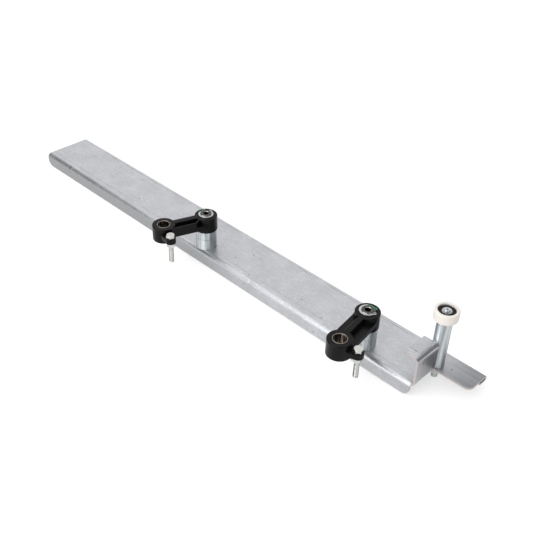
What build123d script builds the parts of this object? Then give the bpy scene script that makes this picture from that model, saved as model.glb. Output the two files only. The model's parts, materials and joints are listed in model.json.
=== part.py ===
"""Lift door coupler vane: a bent sheet vane carried on two moulded link arms, with a lock roller.

Frame: X runs along the vane, with X = 0 at half its length. Y = 0 is the outer face of the front
flange, the coupling face, and +Y leads to the hemmed rear edge. Z = 0 is half-way up the flat part of
that face, and +Z leads from the sheet's top face (the deck) to the arms and the roller.
"""
from build123d import *
from math import cos, radians, sin, tan
import os

os.makedirs("parts", exist_ok=True)

# Sheet vane
vane_length = 598.0
vane_width = 58.4
sheet = 2.0
bend_outer = 5.0
flange_height = 15.0
flange_stop = 40.5
flange_corner = 7.5
hem_outer = 3.0
hem_lip = 10.0

# Hook and tongue at the right end
hook_from_end = 36.2
hook_height = 30.0
hook_lip = 15.7
hook_front = 0.5
hook_back = 30.2
hook_lip_corner = 1.5
slit = 1.0
slit_root = 4.8
relief_gap = 0.8
tongue_corner = 6.5

# Pivot posts
pivot_inset = 12.5
pivot_1_from_left = 282.0
pivot_spacing = 214.3
pin_d = 12.0
collar_d = 22.0
collar_height = 12.4
sleeve_height = 9.0
foot_clear = 0.2
foot_height = 1.8
foot_round = 1.2
post_end = 1.0
post_chamfer = 0.6
end_hole_d = 6.0
end_hole_depth = 14.0
end_hole_chamfer = 0.8
drill_point_angle = 118.0

# Link arms
arm_centres = 46.0
arm_height = 16.2
boss_d = 23.4
bush_wall = 1.0
web_width = 23.0
web_base = 5.3
web_thick = 5.0
rib_width = 6.0
side_wall = 1.2
side_wall_start = 15.0
side_wall_foot = (10.2, 6.3)
lug_r = 5.3
lug_along = 45.4
lug_across = 18.3
lug_root_r = 6.5
lug_rise = 0.8
root_step = 1.0
root_rise = 0.8
arm_edge = 0.5
arm_rest_angles = (249.9, 278.3)
arm_walled = (True, False)

# Screws in the lugs, with their nuts
screw_d = 5.0
screw_length = 30.0
screw_head_across = 8.0
screw_head_height = 3.5
lock_nut_height = 4.7
hex_chamfer_angle = 30.0
hex_flat_share = 0.95
hex_turn_margin = 1.01
screw_point = 0.8

# Circlips: pin circlip and roller circlip
pin_groove_depth = 0.25
pin_clip_thick = 1.0
pin_clip_band = 1.9
pin_clip_lug_r = 1.5
pin_clip_turns = (130.0, 32.0)
roller_groove_depth = 0.15
roller_clip_thick = 0.7
roller_clip_band = 1.1
roller_clip_lug_r = 0.95
roller_clip_turn = -60.0
clip_gap_angle = 34.0
clip_eccentric = 0.18

# Roller post
post_from_end = 39.9
post_inset = 38.6
post_d = 14.0
post_height = 53.5
shoulder_height = 0.6
roller_pin_d = 6.0
roller_pin_end = 0.8
stud_d = 6.0
stud_length = 16.0
stud_round = 1.0
centre_drill_d = 1.6
washer_d = 12.0
washer_thick = 1.6
post_nut_across = 10.0
post_nut_hex = 4.4
post_nut_height = 6.0
post_nut_collar_d = 9.2

# Roller and its ball bearing
tyre_wall = 1.7
tyre_height = 9.7
tyre_lip = 1.25
tyre_edge = 0.6
bearing_d = 19.0
bearing_width = 6.0
ball_d = 3.5
ball_count = 6
race_ratio = 0.52
seal_thick = 0.5
seal_inset = 0.25
cage_wall = 0.6
cage_rim = 0.4

# Clearances
seat_gap = 0.02
running_gap = 0.02
thrust_gap = 0.1
hole_gap = 0.3
seal_gap = 0.1

# Places that follow from the sizes
deck = (flange_height + bend_outer) / 2
left_end = -vane_length / 2
right_end = vane_length / 2
flange_end = right_end - flange_stop
hook_face = right_end - hook_from_end
hook_bend = hook_face - bend_outer
tongue_front = hook_back + slit
foot_d = 2 * (pivot_inset - bend_outer - foot_clear)
pivot_x = [left_end + pivot_1_from_left, left_end + pivot_1_from_left + pivot_spacing]
sleeve_base = deck + collar_height
arm_base = sleeve_base + sleeve_height + thrust_gap
arm_top = arm_base + arm_height
web_bottom = arm_base + web_base
web_top = web_bottom + web_thick
lug_top = web_top + lug_rise
bush_d = pin_d + 2 * (running_gap + bush_wall)
pin_groove_base = arm_top + thrust_gap
pin_groove_r = pin_d / 2 - pin_groove_depth
post_top = pin_groove_base + pin_clip_thick + thrust_gap + post_end
post_x = right_end - post_from_end
bearing_base = deck + post_height + shoulder_height
bearing_top = bearing_base + bearing_width
roller_groove_r = roller_pin_d / 2 - roller_groove_depth
roller_pin_top = bearing_top + roller_clip_thick + thrust_gap + roller_pin_end
tyre_base = (bearing_base + bearing_top - tyre_height) / 2
tyre_r = bearing_d / 2 + tyre_wall
pitch_r = (roller_pin_d + bearing_d) / 4
inner_ring_r = pitch_r - ball_d / 2
outer_ring_r = pitch_r + ball_d / 2
race_r = ball_d * race_ratio
BIG = 4 * vane_length


# Shared shapes
def block(x0, x1, y0, y1, z0, z1):
    """A box between two corners."""
    return Pos((x0 + x1) / 2, (y0 + y1) / 2, (z0 + z1) / 2) * Box(x1 - x0, y1 - y0, z1 - z0)


def turned(*points):
    """A solid of revolution about Z from (radius, height) points."""
    return revolve(make_face(Plane.XZ * Polyline(*points, close=True)), Axis.Z)


def tube(outer_r, inner_r, z0, z1):
    """A plain ring about Z."""
    return turned((inner_r, z0), (outer_r, z0), (outer_r, z1), (inner_r, z1))


def rod(radius, z0, z1):
    """A plain cylinder about Z."""
    return Pos(0, 0, z0) * Cylinder(radius, z1 - z0, align=(Align.CENTER, Align.CENTER, Align.MIN))


def prism(sketch, z0, z1):
    """A flat sketch raised from one height to another."""
    return extrude(Pos(0, 0, z0) * sketch, z1 - z0)


def hexagon(across, z0, z1, low, high):
    """A hex prism with its corners turned off at the chosen ends."""
    corner_r = across / 3 ** 0.5
    turn_r = corner_r * hex_turn_margin
    flat_r = across / 2 * hex_flat_share
    drop = (turn_r - flat_r) * tan(radians(hex_chamfer_angle))
    outline = [(flat_r, z0), (turn_r, z0 + drop)] if low else [(turn_r, z0)]
    outline += [(turn_r, z1 - drop), (flat_r, z1)] if high else [(turn_r, z1)]
    return prism(RegularPolygon(corner_r, 6), z0, z1) & turned((0, z0), *outline, (0, z1))


def circlip(groove_r, band, thick, lug_r, base):
    """An external circlip with its gap towards +X: a band that thins to two holed lugs."""
    inner = groove_r + seat_gap
    outer = Pos(-band * clip_eccentric, 0) * Circle(inner + band)
    half_gap = radians(clip_gap_angle / 2)
    reach = (inner + band + lug_r) * 2
    wedge = make_face(Polyline((0, 0), (reach, reach * tan(half_gap)), (reach, -reach * tan(half_gap)),
                               close=True))
    lug_angle = half_gap + lug_r / (inner + lug_r)
    places = [Pos((inner + lug_r) * cos(side * lug_angle), (inner + lug_r) * sin(side * lug_angle))
              for side in (-1, 1)]
    shape = outer - wedge
    for place in places:
        shape += place * Circle(lug_r)
    shape -= Circle(inner)
    for place in places:
        shape -= place * Circle(lug_r / 2)
    return prism(shape, base, base + thick)


# Sheet vane
def channel_strip():
    """Front flange, deck and open hem, drawn as one section along the vane."""
    half = sheet / 2
    with BuildSketch(Plane.YZ.offset(left_end)) as section:
        with BuildLine():
            rise = Line((half, deck - flange_height), (half, deck - bend_outer))
            bend = JernArc(start=rise @ 1, tangent=rise % 1, radius=bend_outer - half, arc_size=-90)
            top = Line(bend @ 1, (vane_width - hem_outer, deck - half))
            curl = JernArc(start=top @ 1, tangent=top % 1, radius=hem_outer - half, arc_size=-180)
            Line(curl @ 1, (vane_width - hem_lip, deck - 2 * hem_outer + half))
        trace(line_width=sheet)
    return extrude(section.sketch, vane_length)


def hook_strip():
    """Hook bent up from the front half of the right end, with its lip turned back over the deck."""
    half = sheet / 2
    mid_x = hook_face - half
    mid_deck = deck - half
    mid_lip = deck + hook_height - half
    with BuildSketch(Plane.XZ.offset(-hook_front)) as section:
        with BuildLine():
            FilletPolyline((hook_bend - bend_outer, mid_deck), (mid_x, mid_deck), (mid_x, mid_lip),
                           (hook_face - hook_lip, mid_lip), radius=bend_outer - half)
        trace(line_width=sheet)
    hook = extrude(section.sketch, hook_front - hook_back)
    lip_corners = hook.edges().filter_by(Axis.Z).group_by(Axis.X)[0]
    lip_corners = lip_corners.filter_by(lambda edge: edge.center().Z > deck + hook_height / 2)
    hook = fillet(lip_corners, hook_lip_corner)
    hook -= block(-BIG, hook_bend, -BIG, BIG, -BIG, deck)
    return hook - block(hook_bend, flange_end + relief_gap, -BIG, bend_outer, -BIG, deck + bend_outer / 2)


def vane_channel():
    vane = channel_strip()
    vane -= block(flange_end, BIG, -BIG, bend_outer, -BIG, BIG)
    vane -= block(hook_bend, BIG, bend_outer, tongue_front, -BIG, BIG)
    vane -= block(hook_bend - slit_root, BIG, hook_back, tongue_front, -BIG, BIG)
    flange_corners = vane.edges().filter_by(Axis.Y).group_by(Axis.Z)[0]
    vane = fillet(flange_corners, flange_corner)
    tongue_corners = vane.edges().filter_by(Axis.Z).group_by(Axis.X)[-1].sort_by(Axis.Y)[0]
    vane = fillet(tongue_corners, tongue_corner)
    vane += hook_strip()
    for x in pivot_x:
        vane -= Pos(x, pivot_inset) * rod(pin_d / 2 + seat_gap, deck - 2 * sheet, deck + sheet)
    return vane - Pos(post_x, post_inset) * rod((stud_d + hole_gap) / 2, deck - 2 * sheet, deck + sheet)


# Pivot posts
def pivot_post():
    pin_r = pin_d / 2
    foot = deck - sheet - foot_height
    groove_top = pin_groove_base + pin_clip_thick + thrust_gap
    post = turned((0, foot), (foot_d / 2, foot), (foot_d / 2, deck - sheet), (pin_r, deck - sheet),
                  (pin_r, deck), (collar_d / 2, deck), (collar_d / 2, sleeve_base), (pin_r, sleeve_base),
                  (pin_r, pin_groove_base), (pin_groove_r, pin_groove_base), (pin_groove_r, groove_top),
                  (pin_r, groove_top), (pin_r, post_top - post_chamfer), (pin_r - post_chamfer, post_top),
                  (0, post_top))
    hole_r = end_hole_d / 2
    hole_floor = post_top - end_hole_depth
    hole_tip = hole_floor - hole_r / tan(radians(drill_point_angle / 2))
    post -= turned((0, hole_tip), (hole_r, hole_floor), (hole_r, post_top - end_hole_chamfer),
                   (hole_r + end_hole_chamfer, post_top), (0, post_top))
    foot_edge = post.edges().filter_by(GeomType.CIRCLE).group_by(Axis.Z)[0]
    return chamfer(foot_edge, foot_round)


def spacer_sleeve():
    return tube(collar_d / 2, pin_d / 2 + seat_gap, sleeve_base, sleeve_base + sleeve_height)


# Link arms, drawn with the pivot on Z and the free end towards +X
def link_arm(walled):
    bosses = [Pos(u, 0) for u in (0, arm_centres)]
    lug = Pos(lug_along, lug_across)
    web = Pos(arm_centres / 2, 0) * Rectangle(arm_centres, web_width)
    web += make_hull([(lug * Circle(lug_r)).edge(),
                      (Pos(arm_centres, lug_across / 2) * Circle(lug_root_r)).edge()])
    arm = prism(web, web_bottom, web_top)
    arm += prism(lug * Circle(lug_r), web_bottom, lug_top)
    rib = block(0, arm_centres, -rib_width / 2, rib_width / 2, arm_base, arm_top)
    arm += chamfer(rib.edges().filter_by(Axis.X), arm_edge)
    if walled:
        wall_line = web_width / 2 - side_wall / 2
        wall = trace(Polyline(side_wall_foot, (side_wall_start, wall_line), (arm_centres, wall_line)),
                     line_width=side_wall)
        arm += prism(wall, web_bottom, arm_top)
    for boss in bosses:
        arm += prism(boss * Circle(boss_d / 2 + root_step) & web, web_bottom, web_top + root_rise)
        cheek = rod(boss_d / 2, arm_base, arm_top)
        arm += boss * chamfer(cheek.edges().group_by(Axis.Z)[-1], arm_edge)
    for boss in bosses:
        arm -= boss * rod(bush_d / 2 + seat_gap, arm_base - 1, arm_top + 1)
    return arm - lug * rod(screw_d / 2 + seat_gap, web_bottom - 1, lug_top + 1)


def bush(u):
    return Pos(u, 0) * tube(bush_d / 2, pin_d / 2 + running_gap, arm_base, arm_top)


def stop_screw():
    tip = lug_top - screw_length
    shank_r = screw_d / 2
    shank = turned((0, tip), (shank_r - screw_point, tip), (shank_r, tip + screw_point), (shank_r, lug_top),
                   (0, lug_top))
    head = hexagon(screw_head_across, lug_top, lug_top + screw_head_height, False, True)
    return Pos(lug_along, lug_across) * (shank + head)


def lock_nut():
    nut = hexagon(screw_head_across, web_bottom - lock_nut_height, web_bottom, True, True)
    nut -= rod(screw_d / 2 + seat_gap, web_bottom - lock_nut_height - 1, web_bottom + 1)
    return Pos(lug_along, lug_across) * nut


# Roller post and what holds it
def roller_post():
    post_r = post_d / 2
    pin_r = roller_pin_d / 2
    stud_r = stud_d / 2
    shoulder = deck + post_height
    stud_end = deck - stud_length
    groove_top = bearing_top + roller_clip_thick + thrust_gap
    post = turned((0, stud_end), (stud_r - stud_round, stud_end), (stud_r, stud_end + stud_round),
                  (stud_r, deck), (post_r, deck), (post_r, shoulder), (inner_ring_r, shoulder),
                  (inner_ring_r, bearing_base), (pin_r, bearing_base), (pin_r, bearing_top),
                  (roller_groove_r, bearing_top), (roller_groove_r, groove_top), (pin_r, groove_top),
                  (pin_r, roller_pin_top - roller_pin_end / 2), (pin_r - roller_pin_end / 2, roller_pin_top),
                  (0, roller_pin_top))
    return post - turned((0, roller_pin_top - centre_drill_d / 2), (centre_drill_d / 2, roller_pin_top),
                         (0, roller_pin_top))


def post_washer():
    return tube(washer_d / 2, (stud_d + hole_gap) / 2, deck - sheet - washer_thick, deck - sheet)


def post_nut():
    top = deck - sheet - washer_thick
    bottom = top - post_nut_height
    nut = hexagon(post_nut_across, top - post_nut_hex, top, True, True)
    collar = rod(post_nut_collar_d / 2, bottom, top - post_nut_hex / 2)
    collar = chamfer(collar.edges().group_by(Axis.Z)[0], (post_nut_height - post_nut_hex) / 2)
    return nut + collar - rod(stud_d / 2 + seat_gap, bottom - 1, top + 1)


# Roller and bearing, about the post's axis
def roller_tyre():
    lip_r = bearing_d / 2 - tyre_lip
    seat_r = bearing_d / 2 + seat_gap
    top = tyre_base + tyre_height
    tyre = turned((lip_r, tyre_base), (tyre_r, tyre_base), (tyre_r, top), (lip_r, top),
                  (lip_r, bearing_top), (seat_r, bearing_top), (seat_r, bearing_base), (lip_r, bearing_base))
    rims = tyre.edges().filter_by(GeomType.CIRCLE).filter_by(lambda rim: rim.radius > seat_r)
    return chamfer(rims, tyre_edge)


def race_groove():
    """The ring of air that the balls run in."""
    return Pos(0, 0, (bearing_base + bearing_top) / 2) * Torus(pitch_r, race_r)


def bearing_outer_ring():
    ring = tube(bearing_d / 2, outer_ring_r, bearing_base, bearing_top)
    return ring - race_groove()


def bearing_inner_ring():
    ring = tube(inner_ring_r, roller_pin_d / 2 + seat_gap, bearing_base, bearing_top)
    return ring - race_groove()


def ball_places():
    middle = (bearing_base + bearing_top) / 2
    return [Rot(0, 0, (turn + 0.5) * 360 / ball_count) * Pos(pitch_r, 0, middle)
            for turn in range(ball_count)]


def bearing_balls():
    return [place * Sphere(ball_d / 2) for place in ball_places()]


def bearing_cage():
    middle = (bearing_base + bearing_top) / 2
    half = ball_d / 2 + cage_rim
    cage = tube(pitch_r + cage_wall, pitch_r - cage_wall, middle - half, middle + half)
    for place in ball_places():
        cage -= place * Rot(0, 90, 0) * Cylinder(ball_d / 2 + running_gap, 4 * cage_wall)
    return cage


def bearing_seal(base):
    return tube(outer_ring_r - seat_gap, inner_ring_r + seal_gap, base, base + seal_thick)


# Assembly
def write(name, *solids):
    shape = Compound(children=list(solids)) if len(solids) > 1 else solids[0]
    shape.label = name
    export_step(shape, f"parts/{name}.step")


write("vane_channel", vane_channel())
pivots = zip(pivot_x, arm_rest_angles, arm_walled, pin_clip_turns)
for number, (x, angle, walled, clip_turn) in enumerate(pivots, start=1):
    pivot = Pos(x, pivot_inset)
    swung = pivot * Rot(0, 0, angle)
    clip = circlip(pin_groove_r, pin_clip_band, pin_clip_thick, pin_clip_lug_r, pin_groove_base)
    write(f"pivot_post_{number}", pivot * pivot_post())
    write(f"spacer_sleeve_{number}", pivot * spacer_sleeve())
    write(f"pivot_circlip_{number}", pivot * Rot(0, 0, clip_turn) * clip)
    write(f"link_arm_{number}", swung * link_arm(walled))
    write(f"pivot_bush_{number}", swung * bush(0))
    write(f"end_bush_{number}", swung * bush(arm_centres))
    write(f"stop_screw_{number}", swung * stop_screw())
    write(f"lock_nut_{number}", swung * lock_nut())

post_axis = Pos(post_x, post_inset)
roller_clip = circlip(roller_groove_r, roller_clip_band, roller_clip_thick, roller_clip_lug_r, bearing_top)
write("roller_post", post_axis * roller_post())
write("post_washer", post_axis * post_washer())
write("post_nut", post_axis * post_nut())
write("roller_tyre", post_axis * roller_tyre())
write("bearing_outer_ring", post_axis * bearing_outer_ring())
write("bearing_inner_ring", post_axis * bearing_inner_ring())
write("bearing_balls", *[post_axis * ball for ball in bearing_balls()])
write("bearing_cage", post_axis * bearing_cage())
write("bearing_seal_upper", post_axis * bearing_seal(bearing_top - seal_inset - seal_thick))
write("bearing_seal_lower", post_axis * bearing_seal(bearing_base + seal_inset))
write("roller_circlip", post_axis * Rot(0, 0, roller_clip_turn) * roller_clip)
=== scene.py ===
import json
from math import cos, pi, radians, sin

import bmesh
import bpy
from mathutils import Matrix, Vector
from mathutils.bvhtree import BVHTree

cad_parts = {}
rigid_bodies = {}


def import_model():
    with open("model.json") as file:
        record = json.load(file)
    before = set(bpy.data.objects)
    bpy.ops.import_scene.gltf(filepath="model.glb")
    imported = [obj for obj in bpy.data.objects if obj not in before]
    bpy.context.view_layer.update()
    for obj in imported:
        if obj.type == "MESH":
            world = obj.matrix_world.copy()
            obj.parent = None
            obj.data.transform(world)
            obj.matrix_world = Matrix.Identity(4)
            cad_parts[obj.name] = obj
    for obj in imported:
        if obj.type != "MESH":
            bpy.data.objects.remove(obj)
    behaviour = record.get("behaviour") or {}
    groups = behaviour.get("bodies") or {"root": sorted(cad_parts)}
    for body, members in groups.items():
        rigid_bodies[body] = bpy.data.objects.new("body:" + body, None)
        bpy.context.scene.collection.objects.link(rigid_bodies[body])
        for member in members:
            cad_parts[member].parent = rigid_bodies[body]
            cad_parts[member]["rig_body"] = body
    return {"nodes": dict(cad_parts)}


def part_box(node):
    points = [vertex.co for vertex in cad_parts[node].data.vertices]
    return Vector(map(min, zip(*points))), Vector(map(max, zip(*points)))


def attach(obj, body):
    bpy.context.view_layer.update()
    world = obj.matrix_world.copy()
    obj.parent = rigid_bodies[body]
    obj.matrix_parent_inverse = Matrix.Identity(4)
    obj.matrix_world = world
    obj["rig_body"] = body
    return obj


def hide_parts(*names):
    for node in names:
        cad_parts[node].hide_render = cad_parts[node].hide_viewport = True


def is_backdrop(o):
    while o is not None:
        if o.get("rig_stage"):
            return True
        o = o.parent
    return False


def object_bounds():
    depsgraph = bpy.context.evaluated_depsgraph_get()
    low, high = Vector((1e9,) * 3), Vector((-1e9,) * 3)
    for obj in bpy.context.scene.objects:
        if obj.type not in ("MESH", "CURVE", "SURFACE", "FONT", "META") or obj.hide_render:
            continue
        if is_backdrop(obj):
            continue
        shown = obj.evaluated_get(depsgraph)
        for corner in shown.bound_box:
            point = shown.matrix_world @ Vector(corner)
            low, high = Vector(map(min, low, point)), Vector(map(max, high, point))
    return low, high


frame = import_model()
cad_low, cad_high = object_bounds()


# Sheet vane: 2 mm galvanised steel strip, cut flat and then bent. The zinc shows fine rolling marks along
# the strip and painted shade on the flange's left part, the hook's wall and the tongue, and the cut edges
# are bare steel. It carries everything else.
class Shade:
    """One socket of a finish. Sums and products add Math nodes, and node() adds any other node."""

    def __init__(self, socket):
        self.socket = socket

    def node(self, kind, settings, *inputs, **named):
        made = self.socket.id_data.nodes.new("ShaderNode" + kind)
        for name, value in settings.items():
            setattr(made, name, value)
        open_inputs = [socket for socket in made.inputs if socket.enabled]
        by_name = {socket.name: socket for socket in open_inputs}
        for socket, value in zip(open_inputs, inputs):
            feed(socket, value)
        for name, value in named.items():
            feed(by_name[name.replace("_", " ")], value)
        return Shade(next(socket for socket in made.outputs if socket.enabled))

    def pick(self, name):
        return Shade(self.socket.node.outputs[name])

    def math(self, operation, *values):
        return self.node("Math", {"operation": operation}, *values)

    def __add__(self, other):
        return self.math("ADD", self, other)

    def __radd__(self, other):
        return self.math("ADD", other, self)

    def __sub__(self, other):
        return self.math("SUBTRACT", self, other)

    def __rsub__(self, other):
        return self.math("SUBTRACT", other, self)

    def __mul__(self, other):
        return self.math("MULTIPLY", self, other)

    def __rmul__(self, other):
        return self.math("MULTIPLY", other, self)


def feed(socket, value):
    """Link a shade to a socket, or set the socket's own value."""
    if isinstance(value, Shade):
        socket.id_data.links.new(value.socket, socket)
    else:
        socket.default_value = value


def new_finish(name):
    """A material, and the object's own coordinates to draw patterns on."""
    material = bpy.data.materials.new(name)
    material.use_nodes = True
    coordinates = material.node_tree.nodes.new("ShaderNodeTexCoord")
    return material, Shade(coordinates.outputs["Object"])


def lay_finish(material, **values):
    """Set or link the sockets of the material's main shader."""
    shader = material.node_tree.nodes["Principled BSDF"]
    for name, value in values.items():
        feed(shader.inputs[name.replace("_", " ")], value)


def grain(place, scale, detail=2.0):
    """Soft noise from 0 to 1. The scale is one number, or one for each axis to draw the noise out."""
    if isinstance(scale, tuple):
        place = place.node("Mapping", {}, place, Scale=scale)
        scale = 1.0
    return place.node("TexNoise", {}, Vector=place, Scale=scale, Detail=detail)


def band(value, low, high):
    """0 below low, 1 above high, smooth between."""
    return value.node("MapRange", {"interpolation_type": "SMOOTHSTEP"}, Value=value, From_Min=low,
                      From_Max=high)


def blend(factor, first, second):
    """The first colour where the factor is 0 and the second where it is 1."""
    return factor.node("Mix", {"data_type": "RGBA"}, factor, A=first, B=second)


def relief(height, strength, depth):
    """A bump of that depth in metres, for a shader's Normal."""
    return height.node("Bump", {}, Strength=strength, Distance=depth, Height=height)


def cad_copy(node):
    """A copy of a CAD node's mesh with its split vertices joined."""
    shape = bmesh.new()
    shape.from_mesh(frame["nodes"][node].data)
    bmesh.ops.remove_doubles(shape, verts=shape.verts, dist=1e-6)
    return shape


def fair(shape, edge, steps=2):
    """Join flat facets into whole faces and round every sharp edge a little."""
    flat, sharp = radians(0.3), radians(28.0)
    bmesh.ops.dissolve_limit(shape, angle_limit=flat, verts=shape.verts, edges=shape.edges,
                             delimit={"MATERIAL"})
    corners = [line for line in shape.edges if line.calc_face_angle(0.0) > sharp]
    bmesh.ops.bevel(shape, geom=corners, offset=edge, offset_type="OFFSET", affect="EDGES", segments=steps,
                    profile=0.5, clamp_overlap=True, material=-1)
    return shape


def stand_in(node, shape, slot, *materials):
    """The shape, evenly shaded, in place of a CAD node and riding on that node's body."""
    crease = radians(34.0)
    mesh = bpy.data.meshes.new(node + "_finished")
    shape.to_mesh(mesh)
    shape.free()
    mesh.shade_smooth()
    mesh.set_sharp_from_angle(angle=crease)
    for material in materials:
        mesh.materials.append(material)
    piece = bpy.data.objects.new(mesh.name, mesh)
    bpy.context.scene.collection.objects.link(piece)
    piece.modifiers.new("even_shading", "WEIGHTED_NORMAL").keep_sharp = True
    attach(piece, frame["nodes"][node]["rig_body"])
    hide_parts(node)


sheet = 0.002
sheet_edge = 0.00015
deck = 0.010
deck_dark_lines = ((0.0092, 0.0006), (0.0532, 0.0008))
tongue_start, tongue_end = 0.240, 0.299
flange_shade_full, flange_shade_end = -0.11, 0.14
flange_bend = 0.0055
hook_inner, hook_outer = 0.258, 0.262
wall_foot, wall_fade, wall_head = 0.016, 0.032, 0.037
wall_width = 0.024
zinc_dull, zinc_pale = (0.530, 0.542, 0.566, 1), (0.628, 0.642, 0.668, 1)
streak_pale, glint_pale = (0.70, 0.705, 0.715, 1), (0.86, 0.86, 0.87, 1)
frost_grey, dark_line_grey = (0.40, 0.405, 0.42, 1), (0.22, 0.22, 0.225, 1)
tongue_shade_grey, flange_shade_grey = (0.20, 0.20, 0.215, 1), (0.36, 0.365, 0.375, 1)
wall_shade_grey, speck_black = (0.30, 0.305, 0.315, 1), (0.07, 0.07, 0.07, 1)
sheet_zinc, place = new_finish("galvanised_sheet")
split = place.node("SeparateXYZ", {}, place)
along, across, up = split.pick("X"), split.pick("Y"), split.pick("Z")
turned_up = up.math("MAXIMUM", up - deck, 0.0)
turned_down = up.math("MINIMUM", up, deck)
strip = place.node("CombineXYZ", {}, along + turned_up, across - turned_down, 0.0)
rolling = grain(strip, (9.0, 1400.0, 1.0), 4.0)
streaks = grain(strip, (3.0, 220.0, 1.0), 3.0)
clouds = grain(strip, 38.0, 4.0)
frost = grain(strip, 750.0)
glints = grain(strip, (130.0, 1000.0, 1.0), 1.0)
zinc = blend(band(clouds, 0.3, 0.75), zinc_dull, zinc_pale)
zinc = blend(band(streaks, 0.45, 0.75) * 0.25, zinc, streak_pale)
zinc = blend(band(frost, 0.35, 0.65) * 0.42, zinc, frost_grey)
zinc = blend(band(glints, 0.58, 0.72) * 0.42, zinc, glint_pale)
# Thin dark lines along the top of the deck near its front and rear bends, broken up by noise.
dark_line_mask = band(grain(strip, (40.0, 8.0, 1.0)), 0.35, 0.6) * band(up, deck - sheet / 2, deck - sheet / 4)
for line, width in deck_dark_lines:
    near = 1.0 - band(along.math("ABSOLUTE", across - line), width * 0.3, width)
    zinc = blend(near * dark_line_mask * 0.5, zinc, dark_line_grey)
# Painted shade on the tongue, deepening toward its end and streaked along it.
painted_tongue_shade = band(along, tongue_start, tongue_end) * (1.0 - band(up, deck, deck + sheet))
zinc = blend(painted_tongue_shade * (0.63 + band(streaks, 0.35, 0.65) * 0.2), zinc, tongue_shade_grey)
# Painted shade on the flange's left part below its bend, fading out toward the middle.
painted_flange_shade = (1.0 - band(along, flange_shade_full, flange_shade_end)) * (1.0 - band(up, flange_bend, deck - sheet / 2))
zinc = blend(painted_flange_shade * 0.95, zinc, flange_shade_grey)
# Painted shade on the hook's wall, deeper toward its back edge and fading out at its top.
on_wall = band(up, deck, wall_foot) * (1.0 - band(up, wall_fade, wall_head))
painted_wall_shade = band(along, hook_inner, hook_outer) * on_wall
zinc = blend(painted_wall_shade * (0.3 + band(across, 0.0, wall_width) * 0.55), zinc, wall_shade_grey)
cells = strip.node("TexVoronoi", {"voronoi_dimensions": "2D"}, Vector=strip, Scale=95.0)
chosen = band(cells.node("SeparateXYZ", {}, cells.pick("Color")), 0.90, 0.94)
zinc = blend((1.0 - band(cells, 0.045, 0.08)) * chosen * 0.9, zinc, speck_black)
lay_finish(sheet_zinc, Base_Color=zinc, Metallic=0.9, Roughness=0.29 + clouds * 0.10 + rolling * 0.06,
           Normal=relief(rolling, 0.35, 0.00004))
cut_steel, place = new_finish("sheet_cut")
shear = grain(place, 2600.0, 3.0)
bare_steel = blend(shear, (0.46, 0.405, 0.38, 1), (0.68, 0.625, 0.595, 1))
lay_finish(cut_steel, Base_Color=bare_steel, Metallic=0.8, Roughness=0.38 + shear * 0.2,
           Normal=relief(shear, 0.3, 0.00003))
vane = cad_copy("vane_channel")
inside = BVHTree.FromBMesh(vane)
under_skin = 0.00001
for face in vane.faces:
    start = face.calc_center_median() - face.normal * under_skin
    depth = inside.ray_cast(start, -face.normal)[3]
    face.material_index = int(depth is not None and depth > 1.5 * sheet)
stand_in("vane_channel", fair(vane, sheet_edge), "galvanised_sheet", sheet_zinc, cut_steel)


# Pivot posts: bright zinc-plated steel, turned, with fine tool rings round them, dark vertical streaks
# painted in as reflections, and a drilled end whose face and hole are near-black, painted shade in the
# hole. Each is riveted through the sheet, and a loose sleeve of the same steel spaces its arm off the
# collar.
def middle_of(node):
    """The middle of a CAD node's box, which is on the axis of a turned piece."""
    low, high = (Vector(corner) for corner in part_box(node))
    return (low + high) / 2


post_edge, sleeve_edge = 0.00025, 0.0005
end_level, bore_r = 0.0494, 0.0031
turned_zinc, place = new_finish("zinc_turned")
rings = grain(place, (60.0, 60.0, 5200.0), 3.0)
tarnish = grain(place, 160.0, 3.0)
# Painted reflection: dark streaks drawn out along the axis of the turned steel.
painted_reflection_streaks = grain(place, (420.0, 420.0, 14.0), 3.0)
bluish = blend(tarnish, (0.64, 0.69, 0.71, 1), (0.82, 0.86, 0.87, 1))
lay_finish(turned_zinc, Base_Color=blend(band(painted_reflection_streaks, 0.40, 0.64) * 0.62, bluish, (0.22, 0.26, 0.28, 1)),
           Metallic=1.0, Roughness=0.32 + tarnish * 0.10, Anisotropic=0.95, Anisotropic_Rotation=0.25,
           Normal=relief(rings, 0.3, 0.00003))
# Near-black steel for the end faces and drilled holes; in the holes it is painted shade.
drilled_end, place = new_finish("post_drilled_end")
oil = grain(place, 600.0, 3.0)
lay_finish(drilled_end, Base_Color=blend(oil, (0.06, 0.055, 0.05, 1), (0.16, 0.15, 0.14, 1)), Metallic=1.0,
           Roughness=0.30 + oil * 0.2)
for number in ("1", "2"):
    post = fair(cad_copy("pivot_post_" + number), post_edge)
    axis = middle_of("pivot_post_" + number)
    for face in post.faces:
        spot = face.calc_center_median()
        face.material_index = int(spot.z > end_level or (spot.xy - axis.xy).length < bore_r)
    stand_in("pivot_post_" + number, post, "zinc_turned", turned_zinc, drilled_end)
    sleeve = fair(cad_copy("spacer_sleeve_" + number), sleeve_edge)
    stand_in("spacer_sleeve_" + number, sleeve, "zinc_turned", turned_zinc)


# Link arms: black glass-filled nylon, moulded, with two bosses, a rib and a lug for the stop screw.
# The first has a thin wall along its front side.
arm_edge = 0.0003
arm_nylon, place = new_finish("arm_plastic")
mould = grain(place, 900.0, 3.0)
scuffs = grain(place, 120.0, 5.0)
black = blend(band(scuffs, 0.4, 0.75), (0.0030, 0.0027, 0.0028, 1), (0.0075, 0.0069, 0.0070, 1))
lay_finish(arm_nylon, Base_Color=black, Specular_IOR_Level=0.15, Roughness=0.22 + scuffs * 0.20,
           Normal=relief(mould, 0.35, 0.00006))
for node in ("link_arm_1", "link_arm_2"):
    stand_in(node, fair(cad_copy(node), arm_edge), "arm_plastic", arm_nylon)


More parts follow.
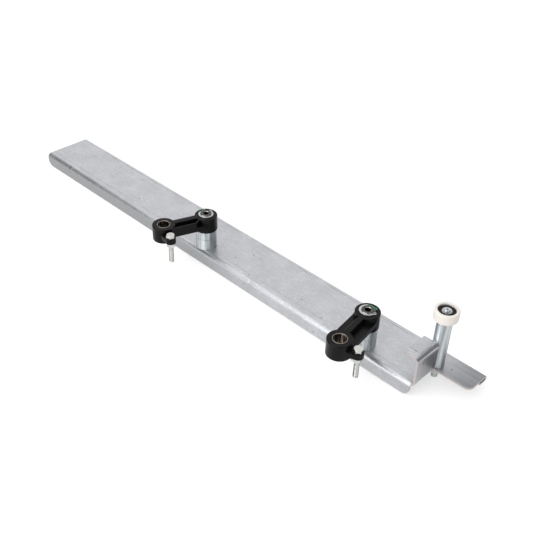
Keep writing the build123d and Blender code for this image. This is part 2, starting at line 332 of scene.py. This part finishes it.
# Bushes: thin rolled bronze sleeves with a dark sliding layer inside, pressed into both bosses of each
# arm. Their rolled seam stays open by a hair.
bush_wall = 0.001
bush_edge = 0.00025
bush_seam = radians(1.6)
bush_steps = 72
seam_turns = {"pivot_bush_1": 100.0, "pivot_bush_2": 80.0, "end_bush_1": 95.0, "end_bush_2": 120.0}
bush_bronze, place = new_finish("bush_bronze")
oil = grain(place, 260.0, 4.0)
lay_finish(bush_bronze, Base_Color=blend(oil, (0.20, 0.16, 0.13, 1), (0.38, 0.32, 0.27, 1)), Metallic=1.0,
           Roughness=0.3 + oil * 0.2)
bush_liner, place = new_finish("bush_liner")
# Pale streaks along the dark sliding layer: partly wear through to the bronze, partly painted highlight.
wear_and_highlight = grain(place, (900.0, 900.0, 60.0), 3.0)
worn_and_highlit = blend(band(wear_and_highlight, 0.50, 0.66), (0.010, 0.009, 0.008, 1), (0.42, 0.35, 0.29, 1))
lay_finish(bush_liner, Base_Color=worn_and_highlit, Metallic=0.8, Roughness=0.3 + wear_and_highlight * 0.15)
for node, seam_turn in seam_turns.items():
    low, high = (Vector(corner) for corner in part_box(node))
    middle = middle_of(node)
    length = high.z - low.z
    outer = (high.x - low.x) / 2
    bush = bmesh.new()
    bmesh.ops.create_grid(bush, x_segments=1, y_segments=1, size=0.5,
                          matrix=Matrix.Translation(middle + Vector((outer - bush_wall / 2, 0, 0)))
                          @ Matrix.Rotation(pi / 2, 4, "X") @ Matrix.Diagonal((bush_wall, length, 1, 1)))
    bmesh.ops.bevel(bush, geom=bush.verts, offset=bush_edge, offset_type="OFFSET", affect="VERTICES",
                    segments=1, profile=0.5, material=-1)
    bmesh.ops.rotate(bush, verts=bush.verts, cent=middle,
                     matrix=Matrix.Rotation(radians(seam_turn) + bush_seam / 2, 3, "Z"))
    bmesh.ops.spin(bush, geom=bush.verts[:] + bush.edges[:] + bush.faces[:], cent=middle, axis=(0, 0, 1),
                   angle=2 * pi - bush_seam, steps=bush_steps)
    bmesh.ops.recalc_face_normals(bush, faces=bush.faces)
    for face in bush.faces:
        outward = face.calc_center_median() - middle
        outward.z = 0
        face.material_index = int(face.normal.dot(outward) < -0.9 * outward.length)
    stand_in(node, bush, "bush_bronze", bush_bronze, bush_liner)


# Circlips: stamped spring steel rings that hold the arms and the roller on their pins. A dab of green
# sealing lacquer marks each arm's ring as fitted and checked.
circlip_edge = 0.00012
between_arms = (0.10, 0.11)
left_pivot, right_pivot = middle_of("pivot_bush_1"), middle_of("pivot_bush_2")
lacquer_green = (0.03, 0.30, 0.16, 1)
spring_steel, place = new_finish("spring_steel")
stamping = grain(place, 420.0, 3.0)
ragged = grain(place, 700.0, 3.0)
split = place.node("SeparateXYZ", {}, place)
along, across = split.pick("X"), split.pick("Y")
on_right = band(along, *between_arms)
right_turn = along.math("ARCTAN2", across - right_pivot.y, along - right_pivot.x)
right_dab = band(right_turn, 0.75, 0.95) * (1.0 - band(right_turn, 2.0, 2.5)) * on_right
left_turn = along.math("ARCTAN2", left_pivot.y - across, left_pivot.x - along)
left_dab = band(left_turn, -0.55, -0.40) * (1.0 - band(left_turn, 0.15, 0.35)) * (1.0 - on_right)
dab = band(right_dab + left_dab + ragged * 0.5, 0.62, 0.80)
silver = blend(stamping, (0.48, 0.48, 0.48, 1), (0.66, 0.66, 0.65, 1))
lay_finish(spring_steel, Base_Color=blend(dab, silver, lacquer_green), Metallic=1.0 - dab,
           Roughness=0.22 + stamping * 0.16)
for node in ("pivot_circlip_1", "pivot_circlip_2", "roller_circlip"):
    stand_in(node, fair(cad_copy(node), circlip_edge), "spring_steel", spring_steel)


# Stop screws: long M5 hex screws in the lugs, bright zinc plated, threaded all the way.
# A nut under each lug locks the screw at its height.
def add_thread(shape, node, radius, root, pitch, low, high):
    """Waist the plain shank of that radius down to the root and wind a thread round it."""
    axis = middle_of(node)
    axis.z = 0
    shank = [vert for vert in shape.verts
             if vert.co.z < high and (vert.co.xy - axis.xy).length < radius * 1.01]
    waist = root / radius
    bmesh.ops.scale(shape, vec=(waist, waist, 1), space=Matrix.Translation(-axis), verts=shank)
    steps_a_turn = 20
    steps = int((high - low) / pitch * steps_a_turn)
    depth = radius * 0.995 - root
    sunk = 0.2
    tooth = bmesh.ops.create_circle(shape, cap_ends=True, segments=3, radius=1.0,
                                    matrix=Matrix.Translation(axis + Vector((root + depth * sunk, 0, low)))
                                    @ Matrix.Rotation(pi / 2, 4, "X") @ Matrix.Rotation(-pi / 2, 4, "Z")
                                    @ Matrix.Diagonal((pitch / 2, depth * (1 - sunk), 1, 1)))["verts"]
    start = [tooth[0].link_faces[0]] + tooth[0].link_faces[0].edges[:] + tooth
    bmesh.ops.spin(shape, geom=start, cent=axis, axis=(0, 0, 1), dvec=(0, 0, pitch / steps_a_turn),
                   angle=2 * pi * steps / steps_a_turn, steps=steps)
    bmesh.ops.recalc_face_normals(shape, faces=shape.faces)


fastener_edge = 0.00015
screw_r, screw_root, screw_pitch = 0.0025, 0.00205, 0.0008
lug_top, screw_tip = 0.0426, 0.0126
bright_zinc, place = new_finish("zinc_fastener")
plating = grain(place, 500.0, 3.0)
lay_finish(bright_zinc, Base_Color=blend(plating, (0.54, 0.55, 0.54, 1), (0.70, 0.70, 0.67, 1)),
           Metallic=1.0, Roughness=0.2 + plating * 0.14)
for number in ("1", "2"):
    screw = fair(cad_copy("stop_screw_" + number), fastener_edge)
    add_thread(screw, "stop_screw_" + number, screw_r, screw_root, screw_pitch, screw_tip + screw_pitch,
               lug_top - screw_pitch)
    stand_in("stop_screw_" + number, screw, "zinc_fastener", bright_zinc)
    nut = fair(cad_copy("lock_nut_" + number), fastener_edge)
    stand_in("lock_nut_" + number, nut, "zinc_fastener", bright_zinc)


# Roller post: a tall turned post, zinc plated like the pivot posts, with a centre drilled in its pin's
# end, an M6 stud through the tongue, and a washer and a collar nut on the stud.
roller_post_edge = 0.0002
stud_r, stud_root, stud_pitch = 0.003, 0.00246, 0.001
stud_end, stud_top = -0.006, 0.0075
centre_floor, centre_r = 0.070, 0.00085
# Painted light: the stud's zinc is paler and less metallic than the post's, so it reads bright in the shade
# under the tongue.
stud_zinc_painted_light, place = new_finish("stud_zinc_painted_light")
dull = grain(place, 500.0, 3.0)
lay_finish(stud_zinc_painted_light, Base_Color=blend(dull, (0.76, 0.77, 0.77, 1), (0.88, 0.89, 0.89, 1)), Metallic=0.45,
           Roughness=0.3 + dull * 0.15)
post = fair(cad_copy("roller_post"), roller_post_edge)
add_thread(post, "roller_post", stud_r, stud_root, stud_pitch, stud_end + stud_pitch, stud_top)
axis = middle_of("roller_post")
# The centre drill in the pin's end takes the near-black finish, painted shade in the small hole.
for face in post.faces:
    spot = face.calc_center_median()
    centred = spot.z > centre_floor and (spot.xy - axis.xy).length < centre_r
    face.material_index = 2 if centred else int(spot.z < stud_top)
stand_in("roller_post", post, "zinc_turned", turned_zinc, stud_zinc_painted_light, drilled_end)
for node in ("post_washer", "post_nut"):
    stand_in(node, fair(cad_copy(node), fastener_edge), "zinc_fastener", bright_zinc)


# Roller: a turned cream plastic tyre pressed over a sealed ball bearing.
# The seals carry a moulded groove, and the balls and their cage stay out of sight.
def coat(material, node):
    """Give a CAD node its finish."""
    piece = frame["nodes"][node]
    piece.data.materials.clear()
    piece.data.materials.append(material)


tyre_edge, ring_edge = 0.0004, 0.0002
groove_from_rim, groove_wall, groove_depth = 0.0007, 0.0003, 0.0002
roller_cream, place = new_finish("roller_plastic")
dust = grain(place, 300.0, 4.0)
lay_finish(roller_cream, Base_Color=blend(dust, (0.94, 0.89, 0.81, 1), (0.98, 0.95, 0.895, 1)),
           Roughness=0.36 + dust * 0.12)
stand_in("roller_tyre", fair(cad_copy("roller_tyre"), tyre_edge, 3), "roller_plastic", roller_cream)
ring_steel, place = new_finish("bearing_steel")
polish = grain(place, 700.0, 3.0)
lay_finish(ring_steel, Base_Color=blend(polish, (0.52, 0.52, 0.53, 1), (0.66, 0.66, 0.66, 1)), Metallic=1.0,
           Roughness=0.14 + polish * 0.1)
for node in ("bearing_outer_ring", "bearing_inner_ring"):
    stand_in(node, fair(cad_copy(node), ring_edge), "bearing_steel", ring_steel)
coat(ring_steel, "bearing_balls")
cage_steel, place = new_finish("cage_steel")
press = grain(place, 600.0, 3.0)
lay_finish(cage_steel, Base_Color=blend(press, (0.40, 0.40, 0.40, 1), (0.54, 0.54, 0.53, 1)), Metallic=1.0,
           Roughness=0.3 + press * 0.1)
coat(cage_steel, "bearing_cage")
seal_rubber, place = new_finish("seal_rubber")
bloom = grain(place, 800.0, 3.0)
lay_finish(seal_rubber, Base_Color=blend(bloom, (0.004, 0.004, 0.004, 1), (0.012, 0.012, 0.012, 1)),
           Specular_IOR_Level=0.25, Roughness=0.45 + bloom * 0.15)
for node, side in (("bearing_seal_upper", 1), ("bearing_seal_lower", -1)):
    seal = cad_copy(node)
    outside = [face for face in seal.faces if face.normal.z * side > 0.9]
    bmesh.ops.inset_region(seal, faces=outside, thickness=groove_from_rim, use_even_offset=True)
    bmesh.ops.inset_region(seal, faces=outside, thickness=groove_wall, depth=-groove_depth,
                           use_even_offset=True)
    stand_in(node, seal, "seal_rubber", seal_rubber)


# Studio: a white floor just under the part, a tall soft lamp in front, a broad one high on the left and a
# white surround. Dark cards that only reflections see keep the contrast in bends and turned steel.
def mirror_rays(camera_ray):
    """1 for rays that come off or through a shiny surface, from a Light Path node."""
    off, through = camera_ray.pick("Is Glossy Ray"), camera_ray.pick("Is Transmission Ray")
    return camera_ray.math("MAXIMUM", off, through)


def facing(azimuth, height, distance):
    """A place round the part, turned to face it."""
    turn, rise = radians(azimuth), radians(height)
    away = Vector((cos(turn) * cos(rise), sin(turn) * cos(rise), sin(rise)))
    return Matrix.Translation(centre + away * distance) @ away.to_track_quat("Z", "Y").to_matrix().to_4x4()


centre = (cad_low + cad_high) / 2
floor_size, floor_gap = 8.0, 0.0003
card_distance = 1.3
lamps = (("key", 270.0, 27.0, 1.2, 1.0, 1.5, 8.0),
         ("top", 216.0, 58.0, 3.0, 3.2, 2.4, 12.0))
cards = (("card_left", 198.5, 16.0, 1.15, 1.3, 17.0),
         ("card_front", 322.0, 20.0, 0.80, 1.0, 0.0),
         ("card_right", 40.0, 18.0, 2.0, 1.1, 0.0))
bpy.ops.mesh.primitive_plane_add(size=floor_size, location=(0, 0, cad_low.z - floor_gap))
floor = bpy.context.object
floor.name = "floor"
floor_white, place = new_finish("floor_white")
camera_ray = place.node("LightPath", {})
glow = camera_ray * 0.5 + mirror_rays(camera_ray) * 0.36
lay_finish(floor_white, Base_Color=(0.75, 0.75, 0.75, 1), Roughness=0.9, Specular_IOR_Level=0.0,
           Emission_Color=blend(glow, (0, 0, 0, 1), (1, 1, 1, 1)), Emission_Strength=1.0)
floor.data.materials.append(floor_white)
floor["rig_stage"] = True
for name, azimuth, height, distance, width, tall, power in lamps:
    lamp = bpy.data.lights.new(name, "AREA")
    lamp.shape = "RECTANGLE"
    lamp.size = width
    lamp.size_y = tall
    lamp.energy = power
    soft_box = bpy.data.objects.new(name, lamp)
    soft_box.matrix_world = facing(azimuth, height, distance)
    bpy.context.scene.collection.objects.link(soft_box)
card_black, place = new_finish("card_black")
felt = grain(place, 30.0)
lay_finish(card_black, Base_Color=blend(felt, (0.14, 0.14, 0.14, 1), (0.18, 0.18, 0.18, 1)), Roughness=0.9,
           Specular_IOR_Level=0.0)
for name, azimuth, height, width, tall, lean in cards:
    panel = bmesh.new()
    bmesh.ops.create_grid(panel, x_segments=1, y_segments=1, size=0.5,
                          matrix=facing(azimuth, height, card_distance)
                          @ Matrix.Rotation(radians(lean), 4, "Z") @ Matrix.Diagonal((width, tall, 1, 1)))
    mesh = bpy.data.meshes.new(name)
    panel.to_mesh(mesh)
    panel.free()
    mesh.materials.append(card_black)
    card = bpy.data.objects.new(name, mesh)
    card.visible_camera = False
    card.visible_diffuse = False
    card.visible_shadow = False
    bpy.context.scene.collection.objects.link(card)
    card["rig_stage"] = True
world = bpy.data.worlds.new("surround")
bpy.context.scene.world = world
world.use_nodes = True
backdrop = world.node_tree.nodes["Background"]
camera_ray = Shade(world.node_tree.nodes.new("ShaderNodeLightPath").outputs["Is Camera Ray"])
seen = camera_ray.math("MAXIMUM", camera_ray, mirror_rays(camera_ray))
feed(backdrop.inputs["Strength"], 0.64 + seen * 0.36)
feed(backdrop.inputs["Color"], (1, 1, 1, 1))


# Camera: at the photograph's angle, with its place, turn and lens fitted to the edges of the sheet, the
# posts and the arms.
lens = bpy.data.cameras.new("photo_camera")
lens.sensor_width = 36.0
lens.lens = 54.32
camera = bpy.data.objects.new("photo_camera", lens)
camera_place = (0.5115, -0.4472, 0.5005)
yaw, pitch, roll = radians(43.734), radians(36.56), radians(1.78)
camera.matrix_world = (Matrix.Translation(camera_place) @ Matrix.Rotation(yaw, 4, "Z")
                       @ Matrix.Rotation(pi / 2 - pitch, 4, "X") @ Matrix.Rotation(roll, 4, "Z"))
bpy.context.scene.collection.objects.link(camera)
bpy.context.scene.camera = camera
bpy.context.scene.view_settings.view_transform = "Standard"

low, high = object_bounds()
